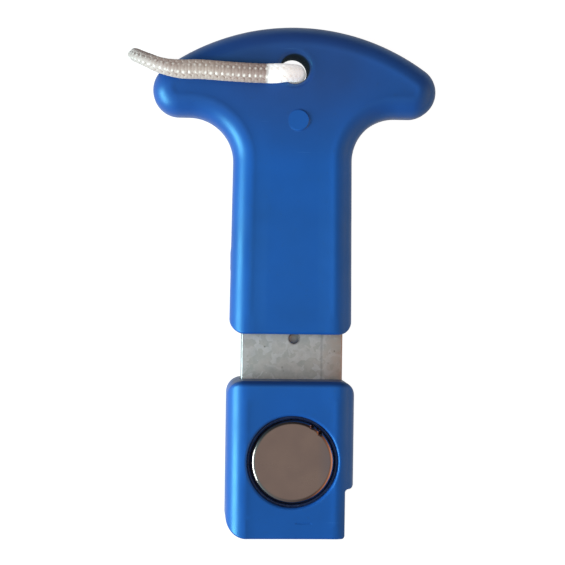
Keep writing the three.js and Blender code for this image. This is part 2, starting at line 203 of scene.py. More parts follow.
line, loop_length = smooth_loop(route_points, strand_step)
rows = len(line)
ahead = np.roll(line, -1, axis=0) - np.roll(line, 1, axis=0)
ahead /= np.linalg.norm(ahead, axis=1)[:, None]
across = np.array([0, 1, 0]) - ahead * ahead[:, 1:2]
across /= np.linalg.norm(across, axis=1)[:, None]
outward = np.cross(ahead, across)
along = np.arange(rows) / rows
turns = round(loop_length / (pair_count * stitch_pitch))

# The splice widens the front strand from beyond the arm to just before the hole, and the cord is
# drawn thinner where it turns round the arm.
line_x = line[:, 0]
on_front = np.clip((line[:, 2] - mid_z) / front_fade, 0, 1)
from_tip = np.clip((line_x - widening_x) / widening_run, 0, 1)
into_hole = 0.85 + 0.15 * np.clip((narrowing_x - line_x) / narrowing_run, 0, 1)
widen = on_front * from_tip ** 2 * (3 - 2 * from_tip) * into_hole ** 3
strained = np.clip((strained_x - line_x) / strained_run, 0, 1)
half_width = (cord_diameter + (splice_width - cord_diameter) * widen) / 2 - strained_width * strained
half_height = cord_diameter / 2 - slack - strained_height * strained
pressed = np.clip((line_x - pressed_from) / pressed_fade, 0, 1) * on_front
weave = strand_weave * (1 - pressed_flat * pressed)

cord_corners, cord_faces, yarn_places = [], [], []


def add_tube(centre, side, half_wide, up, half_thick):
    """One oval tube of the cord, with the place of each of its points along and round the yarn."""
    first = len(cord_corners)
    for i in range(rows):
        for j in range(strand_sides):
            a = 2 * math.pi * j / strand_sides
            cord_corners.append(centre[i] + side[i] * math.cos(a) * half_wide[i]
                                + up[i] * math.sin(a) * half_thick[i])
            yarn_places.append((along[i] * loop_length / stitch_pitch, a / (2 * math.pi)))
    cord_faces.extend(tuple(first + v for v in face) for face in tube_faces(rows, strand_sides))


for winding in (1, -1):
    for strand in range(pair_count):
        turn = 2 * math.pi * (winding * turns * along + (strand + (winding < 0) * 0.5) / pair_count)
        lift = winding * weave * np.cos(2 * math.pi * pair_count * turns * along)
        reach = lift - strand_thickness / 2 - weave
        centre = (line + across * (np.cos(turn) * (half_width + reach))[:, None]
                  + outward * (np.sin(turn) * (half_height + reach))[:, None])
        run = np.roll(centre, -1, axis=0) - np.roll(centre, 1, axis=0)
        run /= np.linalg.norm(run, axis=1)[:, None]
        up = (across * (np.cos(turn) / half_width)[:, None]
              + outward * (np.sin(turn) / half_height)[:, None])
        up -= run * np.sum(up * run, axis=1)[:, None]
        up /= np.linalg.norm(up, axis=1)[:, None]
        spread = strand_width * (half_width * 2 / cord_diameter) ** 0.7 * (1 + pressed_wide * pressed)
        add_tube(centre, np.cross(run, up), spread / 2, up, np.full(rows, strand_thickness / 2))
swell = core_swell * pressed
add_tube(line, across, half_width - core_margin + swell, outward, core_radius + swell)

# Where each point lies round the cord, in radians from its crest, and along it in millimetres.
apart = np.array(cord_corners).reshape(-1, rows, strand_sides, 3) - line[:, None]
sideways = (apart * across[:, None]).sum(axis=-1) / half_width[:, None]
raised = -(apart * outward[:, None]).sum(axis=-1) / half_height[:, None]
round_cord = np.arctan2(sideways, raised)
lengthways = (along * loop_length)[:, None] + (apart * ahead[:, None]).sum(axis=-1)
on_cord = np.stack([np.abs(round_cord), lengthways, np.zeros(round_cord.shape)], axis=-1)

# White nylon yarn, spun and braided: soft and matt and mottled with grime. Its tone shifts along the
# loop, greyer and pinker toward the hole, and its end by the hole is painted pure white with a faint
# glow, a painted highlight. The positions on its ramps run from the loop's left end, at 0, to the far
# side of the hole, at 1. A pattern's scale is how many of its patches go in a millimetre.
loop_left_x, loop_right_x = -52.0, 4.0
dot_fade_round, dot_fade_along = 3.8, 3.2  # one over a dot's reach, in radians and in stitches
filament_count = 22
nylon, tree, shader, place = start_material("braided_nylon_white")
place_x = add_node(tree, "ShaderNodeSeparateXYZ", Vector=place)["X"]
where = add_node(tree, "ShaderNodeMapRange", Value=place_x, From_Min=loop_left_x * mm,
                 From_Max=loop_right_x * mm)["Result"]
# Greyer and pinker toward the hole; the end by the hole is painted pure white, a painted highlight.
cord_tone_and_highlight = add_node(tree, "ShaderNodeValToRGB", stops=[
    (0.0, linear("#b1a39c")), (0.2, linear("#bdaca5")), (0.45, linear("#c1b0a6")),
    (0.6, linear("#b29e96")), (0.765, linear("#a18b84")), (0.79, linear("#ffffff")),
    (1.0, linear("#ffffff"))], Fac=where)["Color"]
grime = add_node(tree, "ShaderNodeTexNoise", Vector=place, Scale=0.7 / mm, Detail=3.0)["Fac"]
dusty = add_node(tree, "ShaderNodeValToRGB", stops=[(0.45, 0.0), (0.75, 0.5)], Fac=grime)["Color"]
before_highlight = add_node(tree, "ShaderNodeValToRGB", stops=[(0.765, 1.0), (0.785, 0.0)],
                   Fac=where)["Color"]
soil = add_node(tree, "ShaderNodeMix", multiplying, i0=1.0, i6=dusty, i7=before_highlight)[2]
greyed = add_node(tree, "ShaderNodeMix", multiplying, i0=1.0, i6=cord_tone_and_highlight, i7=linear("#ddd5d0"))[2]
soiled = add_node(tree, "ShaderNodeMix", mixing, i0=soil, i6=cord_tone_and_highlight, i7=greyed)[2]
# Painted highlights, as on the raised stitches, dot the cord in two rows either side of its crest.
braid = add_node(tree, "ShaderNodeAttribute", {"attribute_name": "on_cord"})["Vector"]
braid = add_node(tree, "ShaderNodeSeparateXYZ", Vector=braid)
off_row = add_node(tree, "ShaderNodeMath", {"operation": "MULTIPLY_ADD"}, i0=braid["X"],
                   i1=dot_fade_round, i2=-dot_fade_round * highlight_dot_row)[0]
stitch = add_node(tree, "ShaderNodeMath", {"operation": "MULTIPLY"}, i0=braid["Y"],
                  i1=1 / highlight_dot_pitch)[0]
stitch = add_node(tree, "ShaderNodeMath", {"operation": "FRACT"}, i0=stitch)[0]
off_stitch = add_node(tree, "ShaderNodeMath", {"operation": "MULTIPLY_ADD"}, i0=stitch,
                      i1=dot_fade_along, i2=-dot_fade_along / 2)[0]
off_dot = add_node(tree, "ShaderNodeCombineXYZ", X=off_row, Y=off_stitch)[0]
off_dot = add_node(tree, "ShaderNodeVectorMath", {"operation": "LENGTH"}, i0=off_dot)["Value"]
bright = add_node(tree, "ShaderNodeValToRGB", stops=[(0.3, 1.0), (1.0, 0.0)], Fac=off_dot)["Color"]
dotted = add_node(tree, "ShaderNodeMix", mixing, i0=bright, i6=soiled, i7=linear("#efe7df"))[2]
# A faint glow, painted light, lifts the white end of the cord by the hole; the cord is no lamp.
painted_glow = add_node(tree, "ShaderNodeValToRGB", stops=[(0.775, 0.0), (0.79, 1.0)], Fac=where)["Color"]
yarn_map = add_node(tree, "ShaderNodeUVMap", {"uv_map": "yarn"})["UV"]
round_yarn = add_node(tree, "ShaderNodeSeparateXYZ", Vector=yarn_map)["Y"]
wave = add_node(tree, "ShaderNodeMath", {"operation": "MULTIPLY"}, i0=round_yarn,
                i1=2 * math.pi * filament_count)[0]
filaments = add_node(tree, "ShaderNodeMath", {"operation": "SINE"}, i0=wave)[0]
fuzz = add_node(tree, "ShaderNodeTexNoise", Vector=place, Scale=3.5 / mm, Detail=2.0)["Fac"]
height = add_node(tree, "ShaderNodeMath", {"operation": "MULTIPLY_ADD"}, i0=filaments, i1=0.25,
                  i2=fuzz)[0]
relief = add_node(tree, "ShaderNodeBump", Strength=0.18, Distance=0.08 * mm, Height=height)["Normal"]
set_inputs(tree, shader, Base_Color=dotted, Roughness=0.62, IOR=1.53, Sheen_Weight=0.25,
           Sheen_Roughness=0.5, Emission_Color=painted_glow, Emission_Strength=0.3, Normal=relief)

cord = add_piece("wrist_cord", cord_corners, cord_faces, nylon, "wrist_loop", smooth_below=0)
yarn = cord.data.uv_layers.new(name="yarn")
on_yarn = np.array(yarn_places)[[loop.vertex_index for loop in cord.data.loops]]
yarn.data.foreach_set("uv", on_yarn.ravel())
spots = cord.data.attributes.new("on_cord", "FLOAT_VECTOR", "POINT")
spots.data.foreach_set("vector", on_cord.ravel())
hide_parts("lanyard_cord")


# ------------------------------------------------------------------ handle
# Two halves moulded in blue polypropylene, closed round the bar and screwed together from behind.
# The sides of the grip are rolled over; the mouth, where the bar comes out, is cut nearly square.
grip_depth = 8.0  # from the mid-plane to the front or the back face
joint_gap = 0.15
joint_chamfer = 0.12
side_roll = 6.3
crown_x, crown_y = 0.9, 9.5  # centre of the crown's arc
crown_radius = 68.0
tip_radius = 8.0
left_tip, right_tip = [
    (x, crown_y + math.sqrt((crown_radius - tip_radius) ** 2 - (x - crown_x) ** 2))
    for x in (-34.75, 35.65)]
arm_fillet = 13.5
shank_half_top = 18.1
shank_half_mouth = 18.6
mouth_y = -16.0
mouth_corner = 4.4
mouth_round = 1.0
flare, carry_on = 0.18, 12.0  # the rolled sides end this much wider, this far past the mouth
bore_radius = 4.4
bore_round = 1.8
mark_centre = (1.3, 48.7)
mark_radius = 3.2
mark_height = 0.5  # at its right; the pin pushed it up crooked and its left is flush
outline_step = 1.5  # on the straight sides; arcs are finer
rim_sink = 0.22  # the face has sunk this much inside its edges as the moulding cooled
rim_sink_reach = 1.1
flat_rows = (0.3, 0.7, 1.2, 2.0, 3.0)  # rows of points inside the rolled edge, where the face sinks
face_grid = 1.8  # spacing of the points over the rest of a face
rim_rows = (0.25, 0.7)  # rings of points outside a bore's rounding
rim_clear = 0.9  # from a bore's rounding to the other points
detail_clear = 0.25  # from the points of a small detail to the others
bore_step = 0.45  # spacing of the points round a bore
flank_step = 0.45  # from the joint's chamfer to the next row of points up the flank
crease = 32  # degrees; a sharper bend is an edge


def arc(cx, cy, radius, start, end, rolls=(0.0, 0.0)):
    """Points on an arc at the outline's spacing, each with the rounding of the edge there."""
    count = max(int(abs(end - start) * radius / min(outline_step, 0.2 + 0.035 * radius)), 8)
    turn = np.linspace(start, end, count, endpoint=False)
    first, last = rolls
    return [(cx + radius * math.cos(a), cy + radius * math.sin(a),
             first + (last - first) * i / count) for i, a in enumerate(turn)]


def straight(x0, y0, x1, y1, rolls=(0.0, 0.0)):
    """Points on a line at the outline's spacing, each with the rounding of the edge there."""
    count = max(int(math.hypot(x1 - x0, y1 - y0) / outline_step), 1)
    return [(x0 + (x1 - x0) * i / count, y0 + (y1 - y0) * i / count,
             rolls[0] + (rolls[1] - rolls[0]) * i / count) for i in range(count)]


def distance_to(points, path, values=None):
    """The distance of each point to a path of straight pieces, and the value there if given."""
    best, found = np.full(len(points), 1e9), np.zeros(len(points))
    for i in range(len(path) - 1):
        run = path[i + 1] - path[i]
        share = np.clip(((points - path[i]) @ run) / max(run @ run, 1e-12), 0, 1)
        apart = np.linalg.norm(points - path[i] - share[:, None] * run, axis=1)
        if values is not None:
            nearer = apart < best
            found[nearer] = values[i] + (values[i + 1] - values[i]) * share[nearer]
        best = np.minimum(best, apart)
    return best if values is None else (best, found)


def roll_drop(distance, radius):
    """How far a rounded edge has dropped at a distance inside the outline."""
    inside = np.clip(radius - distance, 0, None)
    return radius - np.sqrt(np.clip(radius ** 2 - inside ** 2, 0, None))


def into_plastic(ring):
    """Unit vectors to the left of a ring's run: inward from the outline, outward from a bore."""
    run = np.roll(ring, -1, axis=0) - np.roll(ring, 1, axis=0)
    return np.stack([-run[:, 1], run[:, 0]], axis=1) / np.linalg.norm(run, axis=1)[:, None]


def bore_sides(radius):
    """How many points go round a bore."""
    return max(int(2 * math.pi * radius / bore_step), 32)


def circle(x, y, radius, sides):
    """Points round a centre, clockwise."""
    turn = -np.arange(sides) * 2 * math.pi / sides
    return np.array([x, y]) + np.stack([np.cos(turn), np.sin(turn)], axis=1) * radius


def is_inside(points, closed):
    """Whether each point lies within a closed outline, from the edges that pass to its right."""
    odd = np.zeros(len(points), bool)
    for a, b in zip(closed, closed[1:]):
        spans = (a[1] > points[:, 1]) != (b[1] > points[:, 1])
        with np.errstate(divide="ignore", invalid="ignore"):
            x = a[0] + (points[:, 1] - a[1]) * (b[0] - a[0]) / (b[1] - a[1])
        odd ^= spans & (points[:, 0] < x)
    return odd


def face_points(ring, edge_round, closed, bores, extra):
    """Points over a face: rows along the outline where its edge is rolled or rounded, rings round
    the bores, a grid over the flat rest, and the extra points in place of those near them."""
    inward = into_plastic(ring)
    steps = [side_roll * (1 - math.cos(a)) for a in np.linspace(0, math.pi / 2, 17)[1:]]
    steps += [side_roll + row for row in flat_rows]
    small = [1 - math.cos(a) for a in np.linspace(0, math.pi / 2, 8)[1:]]
    rounded = edge_round > 0.01
    rows = [ring + inward * step for step in steps]
    rows += [(ring + inward * (edge_round * s)[:, None])[rounded] for s in small]
    insets = [np.full(len(ring), s) for s in steps] + [(edge_round * s)[rounded] for s in small]
    cloud, insets = np.concatenate(rows), np.concatenate(insets)
    cloud = cloud[(distance_to(cloud, closed) > insets - 0.03) & is_inside(cloud, closed)]
    low, high = ring.min(axis=0), ring.max(axis=0)
    grid = np.stack(np.meshgrid(np.arange(low[0], high[0], face_grid),
                                np.arange(low[1], high[1], face_grid)), axis=-1).reshape(-1, 2)
    grid = grid[is_inside(grid, closed)]
    grid = grid[distance_to(grid, closed) > side_roll + flat_rows[-1] + 0.3]
    for x, y, radius, rim in bores:
        layers = [rim * s for s in small] + [rim + row for row in rim_rows]
        reach = radius + rim + rim_clear
        cloud = cloud[np.linalg.norm(cloud - (x, y), axis=1) > reach]
        grid = grid[np.linalg.norm(grid - (x, y), axis=1) > reach]
        added = np.concatenate([circle(x, y, radius + s, bore_sides(radius)) for s in layers])
        added = added[is_inside(added, closed) & (distance_to(added, closed) > 0.05)]
        cloud = np.concatenate([cloud, added])
    for points in extra:
        points = np.array(points)
        low, high = points.min(axis=0) - detail_clear, points.max(axis=0) + detail_clear
        cloud = cloud[~((cloud > low) & (cloud < high)).all(axis=1)]
        grid = grid[~((grid > low) & (grid < high)).all(axis=1)]
        cloud = np.concatenate([cloud, points])
    return np.concatenate([cloud, grid])


def filled(points, loops, closed, bores, tolerance):
    """A plan's points, its triangles inside the outline and outside the bores, counter-clockwise,
    and for each point the given ones that it stands for."""
    edges = [(a, b) for loop in loops for a, b in zip(loop, loop[1:] + loop[:1])]
    found = delaunay_2d_cdt([Vector(p) for p in points], edges, [], 0, tolerance)
    flat = np.array([tuple(v) for v in found[0]])
    faces = np.array([tuple(f) for f in found[2]])
    centres = flat[faces].mean(axis=1)
    keep = is_inside(centres, closed)
    for x, y, radius, _ in bores:
        clear = radius * math.cos(math.pi / bore_sides(radius))
        keep &= np.linalg.norm(centres - (x, y), axis=1) > clear
    faces = faces[keep]
    a, b, c = (flat[faces[:, k]] for k in range(3))
    wrong = np.cross(b - a, c - a) < 0
    faces[wrong] = faces[wrong][:, ::-1]
    return flat, faces, found[3]


def half_moulding(name, outline, bores, surface, front, material, extra=(), flash=()):
    """One moulded half as a closed mesh: its face as a surface over the plan outline, the flanks
    and bore walls down to the joint, a small chamfer there and the joint face itself. Bores are
    (x, y, radius, rounding), extra points draw small details of the face, and flash is
    (x, y, reach, length) burrs along the joint."""
    outline = np.array(outline)
    ring, edge_round = outline[:, :2], outline[:, 2]
    closed = np.concatenate([ring, ring[:1]])
    rings = [ring] + [circle(x, y, radius, bore_sides(radius)) for x, y, radius, _ in bores]
    loops, count = [], 0
    for part in rings:
        loops.append(list(range(count, count + len(part))))
        count += len(part)
    plan = np.concatenate(rings + [face_points(ring, edge_round, closed, bores, extra)])
    flat, faces, sources = filled(plan, loops, closed, bores, 1e-5)
    corners = [(p[0], p[1], depth) for p, depth in zip(flat, surface(flat))]
    all_faces = [tuple(face) for face in faces]
    made_from = {source: index for index, given in enumerate(sources) for source in given}
    joint_ring = []
    for part, loop in zip(rings, loops):
        normal = into_plastic(part)
        top = [made_from[i] for i in loop]
        burr = np.zeros(len(part))
        levels = [(0.0, joint_gap)]
        if part is ring:
            for x, y, reach, length in flash:
                burr += reach * np.exp(-((part - (x, y)) ** 2).sum(axis=1) / length ** 2)
            levels = [(0.0, joint_gap + flank_step), (0.0, joint_gap + joint_chamfer),
                      (joint_chamfer, joint_gap)]
        for number, (inset, level) in enumerate(levels):
            low_ring = list(range(len(corners), len(corners) + len(part)))
            shift = inset - burr * (number > 0)
            corners += [(p[0] + n[0] * s, p[1] + n[1] * s, level)
                        for p, n, s in zip(part, normal, shift)]
            for i in range(len(part)):
                j = (i + 1) % len(part)
                all_faces.append((top[j], top[i], low_ring[i], low_ring[j]))
            top = low_ring
        joint_ring += top
    _, faces, sources = filled([corners[i][:2] for i in joint_ring], loops, closed, bores, 1e-6)
    stands_for = {index: joint_ring[given[0]] for index, given in enumerate(sources) if given}
    all_faces += [tuple(stands_for[i] for i in face[::-1]) for face in faces]
    corners = np.array(corners)
    if not front:
        corners[:, 2] *= -1
        all_faces = [face[::-1] for face in all_faces]
    corners[:, 2] += mid_z
    return add_piece(name, corners, all_faces, material, smooth_below=crease)


def cut_away(piece, *cutters):
    """Cuts closed tools out of a piece and leaves it a plain mesh."""
    for corners, faces in cutters:
        mesh = bpy.data.meshes.new("cutter")
        mesh.from_pydata([tuple(c) for c in np.asarray(corners) * mm], [], faces)
        tool = bpy.data.objects.new("cutter", mesh)
        bpy.context.scene.collection.objects.link(tool)
        modifier = piece.modifiers.new("cut", "BOOLEAN")
        modifier.operation = "DIFFERENCE"
        modifier.solver = "EXACT"
        modifier.object = tool
        made = bpy.data.meshes.new_from_object(
            piece.evaluated_get(bpy.context.evaluated_depsgraph_get()))
        piece.modifiers.remove(modifier)
        old = piece.data
        piece.data = made
        made.name = piece.name
        bpy.data.meshes.remove(old)
        bpy.data.objects.remove(tool)
    piece.data.shade_smooth()
    piece.data.set_sharp_from_angle(angle=math.radians(crease))


def box_tool(x0, x1, y0, y1, z0, z1):
    """A box as a cutting tool."""
    corners = [(x, y, z) for z in (z0, z1) for y in (y0, y1) for x in (x0, x1)]
    return corners, [(0, 2, 3, 1), (4, 5, 7, 6), (0, 1, 5, 4), (2, 6, 7, 3), (0, 4, 6, 2),
                     (1, 3, 7, 5)]


def turned(profile, x, y, sides):
    """A closed turned solid from (radius, z) points whose ends lie on the axis."""
    corners = [(x, y, profile[0][1])]
    inner = profile[1:-1]
    for radius, z in inner:
        corners += [(x + radius * math.cos(2 * math.pi * j / sides),
                     y + radius * math.sin(2 * math.pi * j / sides), z) for j in range(sides)]
    corners.append((x, y, profile[-1][1]))
    last = len(corners) - 1
    faces = [(0, 1 + (j + 1) % sides, 1 + j) for j in range(sides)]
    for i in range(len(inner) - 1):
        a, b = 1 + i * sides, 1 + (i + 1) * sides
        faces += [(a + j, a + (j + 1) % sides, b + (j + 1) % sides, b + j) for j in range(sides)]
    a = 1 + (len(inner) - 1) * sides
    faces += [(a + j, a + (j + 1) % sides, last) for j in range(sides)]
    return corners, faces


# Blue polypropylene, moulded in a fine-blasted tool: satin, with flow marks, scuffs and polish
# where hands and pockets rub it, and a bluish gloss on the rolled edges.
crown_shade_low_y, crown_shade_high_y = 34.0, 60.0
crown_shade_near, crown_shade_far = 15.0, 30.0  # from the hole, where the painted shade begins and ends to thin out
unshaded_radius = 3.0
hole_shade_reach = 0.35  # how far the painted shade of the hole's wall reaches over its rim
block_top_y = -29.8
edge_shade_half, edge_shade_fade = 0.7, 1.3
scratch_run = (60.0, 2200.0, 60.0)  # hairs 17 mm long and 0.45 mm apart, in patches per metre
plastic, tree, shader, place = start_material("moulded_polypropylene_blue")
clouds = add_node(tree, "ShaderNodeTexNoise", Vector=place, Scale=0.045 / mm, Detail=3.0,
                  Roughness=0.55)["Fac"]
flow = add_node(tree, "ShaderNodeValToRGB", stops=[(0.3, linear("#144792")), (0.7, linear("#154ea1"))],
                Fac=clouds)["Color"]
specks = add_node(tree, "ShaderNodeTexNoise", Vector=place, Scale=0.9 / mm, Detail=4.0,
                  Roughness=0.6)["Fac"]
dirty = add_node(tree, "ShaderNodeValToRGB", stops=[(0.62, 0.0), (0.74, 0.5)], Fac=specks)["Color"]
stretch = add_node(tree, "ShaderNodeMapping", Vector=place, Rotation=(0, 0, 0.5),
                   Scale=scratch_run)["Vector"]
hairs = add_node(tree, "ShaderNodeTexNoise", Vector=stretch, Scale=1.0, Detail=2.0)["Fac"]
scratches = add_node(tree, "ShaderNodeValToRGB", stops=[(0.70, 0.0), (0.76, 1.0)], Fac=hairs)["Color"]
patches = add_node(tree, "ShaderNodeTexNoise", Vector=place, Scale=0.11 / mm, Detail=2.0)["Fac"]
rubbed = add_node(tree, "ShaderNodeValToRGB", stops=[(0.52, 0.0), (0.7, 0.6)], Fac=patches)["Color"]
scuffed = add_node(tree, "ShaderNodeMix", multiplying, i0=1.0, i6=scratches, i7=rubbed)[2]
# A painted shade darkens the crown toward purplish brown, less on the mark, which it leaves lighter,
# and toward the tips, and the wall of the cord's hole is painted dark as painted shade.
over_hole = add_node(tree, "ShaderNodeMapping", Vector=place, Scale=(1, 1, 0.0),
                     Location=(0, -hole_y * mm, 0))["Vector"]
from_hole = add_node(tree, "ShaderNodeVectorMath", {"operation": "LENGTH"}, i0=over_hole)["Value"]
place_y = add_node(tree, "ShaderNodeSeparateXYZ", Vector=place)["Y"]
crown_shade = add_node(tree, "ShaderNodeMapRange", Value=place_y, From_Min=crown_shade_low_y * mm,
                From_Max=crown_shade_high_y * mm, To_Max=0.29)["Result"]
from_mark = add_node(tree, "ShaderNodeVectorMath", {"operation": "DISTANCE"}, i0=place,
                     i1=(mark_centre[0] * mm, mark_centre[1] * mm, (mid_z + grip_depth) * mm))["Value"]
off_mark = add_node(tree, "ShaderNodeMapRange", Value=from_mark, From_Min=unshaded_radius * mm,
                    From_Max=(unshaded_radius + 0.3) * mm, To_Min=0.25)["Result"]
toward_tips = add_node(tree, "ShaderNodeMapRange", Value=from_hole, From_Min=crown_shade_near * mm,
                       From_Max=crown_shade_far * mm, To_Min=1.0, To_Max=0.6)["Result"]
for thinned in (off_mark, toward_tips):
    crown_shade = add_node(tree, "ShaderNodeMix", multiplying, i0=1.0, i6=crown_shade, i7=thinned)[2]
# Painted shade: the wall of the cord's hole is painted dark, and made rough.
hole_shade = add_node(tree, "ShaderNodeMapRange", Value=from_hole, From_Min=bore_radius * mm,
                   From_Max=(bore_radius + hole_shade_reach) * mm, To_Min=1.0, To_Max=0.0)["Result"]
# A dark line along the top edge of the block, where the bar goes in, is painted shade.
above_edge = add_node(tree, "ShaderNodeMath", {"operation": "SUBTRACT"}, i0=place_y,
                      i1=block_top_y * mm)[0]
from_edge = add_node(tree, "ShaderNodeMath", {"operation": "ABSOLUTE"}, i0=above_edge)[0]
edge_shade = add_node(tree, "ShaderNodeMapRange", Value=from_edge, From_Min=edge_shade_half * mm,
                From_Max=(edge_shade_half + edge_shade_fade) * mm, To_Min=0.72, To_Max=0.0)["Result"]
tint = flow
for share, colour in ((dirty, "#1c4684"), (scuffed, "#3c74bd"), (crown_shade, "#3a2431"),
                      (edge_shade, "#14204a"), (hole_shade, "#141a2c")):
    tint = add_node(tree, "ShaderNodeMix", mixing, i0=share, i6=tint, i7=linear(colour))[2]
polish = add_node(tree, "ShaderNodeValToRGB", stops=[(0.3, 0.33), (0.7, 0.43)], Fac=patches)["Color"]
polish = add_node(tree, "ShaderNodeMix", mixing, i0=hole_shade, i6=polish, i7=[0.95, 0.95, 0.95, 1])[2]
rough = add_node(tree, "ShaderNodeMath", {"operation": "MULTIPLY_ADD"}, i0=scuffed, i1=0.25,
                 i2=polish)[0]
grain = add_node(tree, "ShaderNodeTexNoise", Vector=place, Scale=2.6 / mm, Detail=2.0)["Fac"]
height = add_node(tree, "ShaderNodeMath", {"operation": "MULTIPLY_ADD"}, i0=scuffed, i1=-0.6,
                  i2=grain)[0]
relief = add_node(tree, "ShaderNodeBump", Strength=0.22, Distance=0.04 * mm, Height=height)["Normal"]
set_inputs(tree, shader, Base_Color=tint, Roughness=rough, IOR=1.49, Specular_IOR_Level=0.72,
           Specular_Tint=(0.26, 0.83, 1.0, 1.0), Normal=relief)


def handle_outline():
    """The T in plan, counter-clockwise, with the rounding that the mouth adds to the rolled side."""
    lean_left, lean_right = (math.atan2(y - crown_y, x - crown_x) for x, y in (left_tip, right_tip))
    fillet_x = shank_half_top + arm_fillet
    left_under, right_under = left_tip[1] - tip_radius, right_tip[1] - tip_radius
    left_y, right_y = left_under - arm_fillet, right_under - arm_fillet
    corner_x, corner_y = shank_half_mouth - mouth_corner, mouth_y + mouth_corner
    return (arc(crown_x, crown_y, crown_radius, lean_right, lean_left)
            + arc(*left_tip, tip_radius, lean_left, 1.5 * math.pi)
            + straight(left_tip[0], left_under, -fillet_x, left_under)
            + arc(-fillet_x, left_y, arm_fillet, math.pi / 2, 0)
            + straight(-shank_half_top, left_y, -shank_half_mouth, corner_y)
            + arc(-corner_x, corner_y, mouth_corner, math.pi, 1.5 * math.pi, (0.0, mouth_round))
            + straight(-corner_x, mouth_y, corner_x, mouth_y, (mouth_round, mouth_round))
            + arc(corner_x, corner_y, mouth_corner, 1.5 * math.pi, 2 * math.pi, (mouth_round, 0.0))
            + straight(shank_half_mouth, corner_y, shank_half_top, right_y)
            + arc(fillet_x, right_y, arm_fillet, math.pi, math.pi / 2)
            + straight(fillet_x, right_under, right_tip[0], right_under)
            + arc(*right_tip, tip_radius, -math.pi / 2, lean_right))


grip = handle_outline()
grip_plan, grip_rounds = np.array(grip)[:, :2], np.array(grip)[:, 2]
# The rolled edge follows the sides and carries on past the mouth, so that it doesn't turn there.
past_mouth = np.array([(side * (shank_half_mouth + flare), mouth_y - carry_on) for side in (1, -1)])
start = int(np.linalg.norm(grip_plan - (shank_half_mouth, mouth_y + mouth_corner), axis=1).argmin())
order = [i % len(grip) for i in range(start, start + len(grip))]
side_points = [grip_plan[i] for i in order if grip_plan[i][1] >= mouth_y + mouth_corner - 0.01]
rolled = np.array([past_mouth[0]] + side_points + [past_mouth[1]])
ended = [i for i in range(len(grip)) if grip_plan[i][1] < mouth_y + mouth_corner + 0.5]
mouth_path, mouth_rounds = grip_plan[ended], grip_rounds[ended]


def end_drop(points, path, rounds):
    """The drop of the nearly square ends, each rounded as its outline says."""
    apart, rounding = distance_to(points, path, rounds)
    return roll_drop(apart, np.maximum(rounding, 1e-6))


def sunken(inset):
    """The slight sink of a face inside the crest of its rolled edge."""
    return rim_sink * (1 - np.exp(-np.clip(inset - side_roll + 0.4, 0, None) / rim_sink_reach))


def grip_surface(points, marked):
    """Depth of the handle's face from the mid-plane."""
    inset = distance_to(points, rolled)
    depth = grip_depth - roll_drop(inset, side_roll) - sunken(inset)
    depth -= end_drop(points, mouth_path, mouth_rounds)
    depth -= roll_drop(np.linalg.norm(points - (0, hole_y), axis=1) - bore_radius, bore_round)
    if marked:
        from_mark = np.linalg.norm(points - mark_centre, axis=1) - mark_radius
        lean = np.clip(0.5 + (points[:, 0] - mark_centre[0]) / (2 * mark_radius), 0, 1)
        depth += mark_height * lean * np.clip(0.5 - from_mark / 0.5, 0, 1)
    return depth


mark_rings = [(mark_centre[0] + r * math.cos(a), mark_centre[1] + r * math.sin(a))
              for r in (1.2, 2.1, 2.6, 2.85, 2.95, 3.05, 3.2, 3.35, 3.45, 3.55, 3.9)
              for a in np.linspace(0, 2 * math.pi, 64, endpoint=False)]
bore = (0, hole_y, bore_radius, bore_round)
trapped_flash = [(-18.3, 9.0, 0.28, 0.9), (-18.3, 6.9, 0.18, 0.7), (-18.35, 4.6, 0.25, 1.1)]
handle_front = half_moulding("handle_front", grip, [bore], lambda p: grip_surface(p, True),
                             True, plastic, [mark_rings], trapped_flash)
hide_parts("handle_front_shell")

bar_left, bar_right, bar_gap = -15.0, 16.0, 0.3
bar_end_y, bar_top_y = -70.0, 26.0
bar_low, bar_high = 10.7, 14.7
cut_x, cut_y = 14.95, -60.7  # the bar's right corner is cut back to here, inside the block's step
bar_space = [box_tool(x0, x1 + bar_gap, y0 - bar_gap, bar_top_y + bar_gap, bar_low - bar_gap,
                      bar_high + bar_gap)
             for x0, x1, y0 in ((bar_left - bar_gap, cut_x, bar_end_y), (cut_x, bar_right, cut_y))]
cut_away(handle_front, *bar_space)

head_space = 3.1  # radius of the counterbore round each screw head
head_lead = 0.35
arm_screw_in, arm_screw_up = 7.75, 2.8  # from the centre of an arm's tip
grip_screws = [(left_tip[0] + arm_screw_in, left_tip[1] + arm_screw_up),
               (right_tip[0] - arm_screw_in, right_tip[1] + arm_screw_up), (0.0, 34.0), (0.0, 0.0)]


def rear_surface(points):
    """Depth of the handle's back, with the mouths of its counterbores rounded."""
    depth = grip_surface(points, False)
    for x, y in grip_screws:
        depth -= roll_drop(np.linalg.norm(points - (x, y), axis=1) - head_space, head_lead)
    return depth


handle_rear = half_moulding("handle_rear", grip,
                            [bore] + [(x, y, head_space, head_lead) for x, y in grip_screws],
                            rear_surface, False, plastic)
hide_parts("handle_rear_shell")
cut_away(handle_rear, *bar_space)

# ------------------------------------------------------------------ bar
# One length of 31 by 4 mm hot-dip galvanised flat bar, sheared and drilled, clamped between the
# halves of the handle and of the block. Its edges are eased and the zinc shows fine spangle.
bar_chamfer = 0.4
bar_hole = 2.1  # radius of the holes that the screws pass through
pilot_x, pilot_y, pilot_radius, pilot_depth = 1.1, -17.4, 1.4, 2.6
block_screws = [(-9.0, -35.1), (9.0, -35.1)]

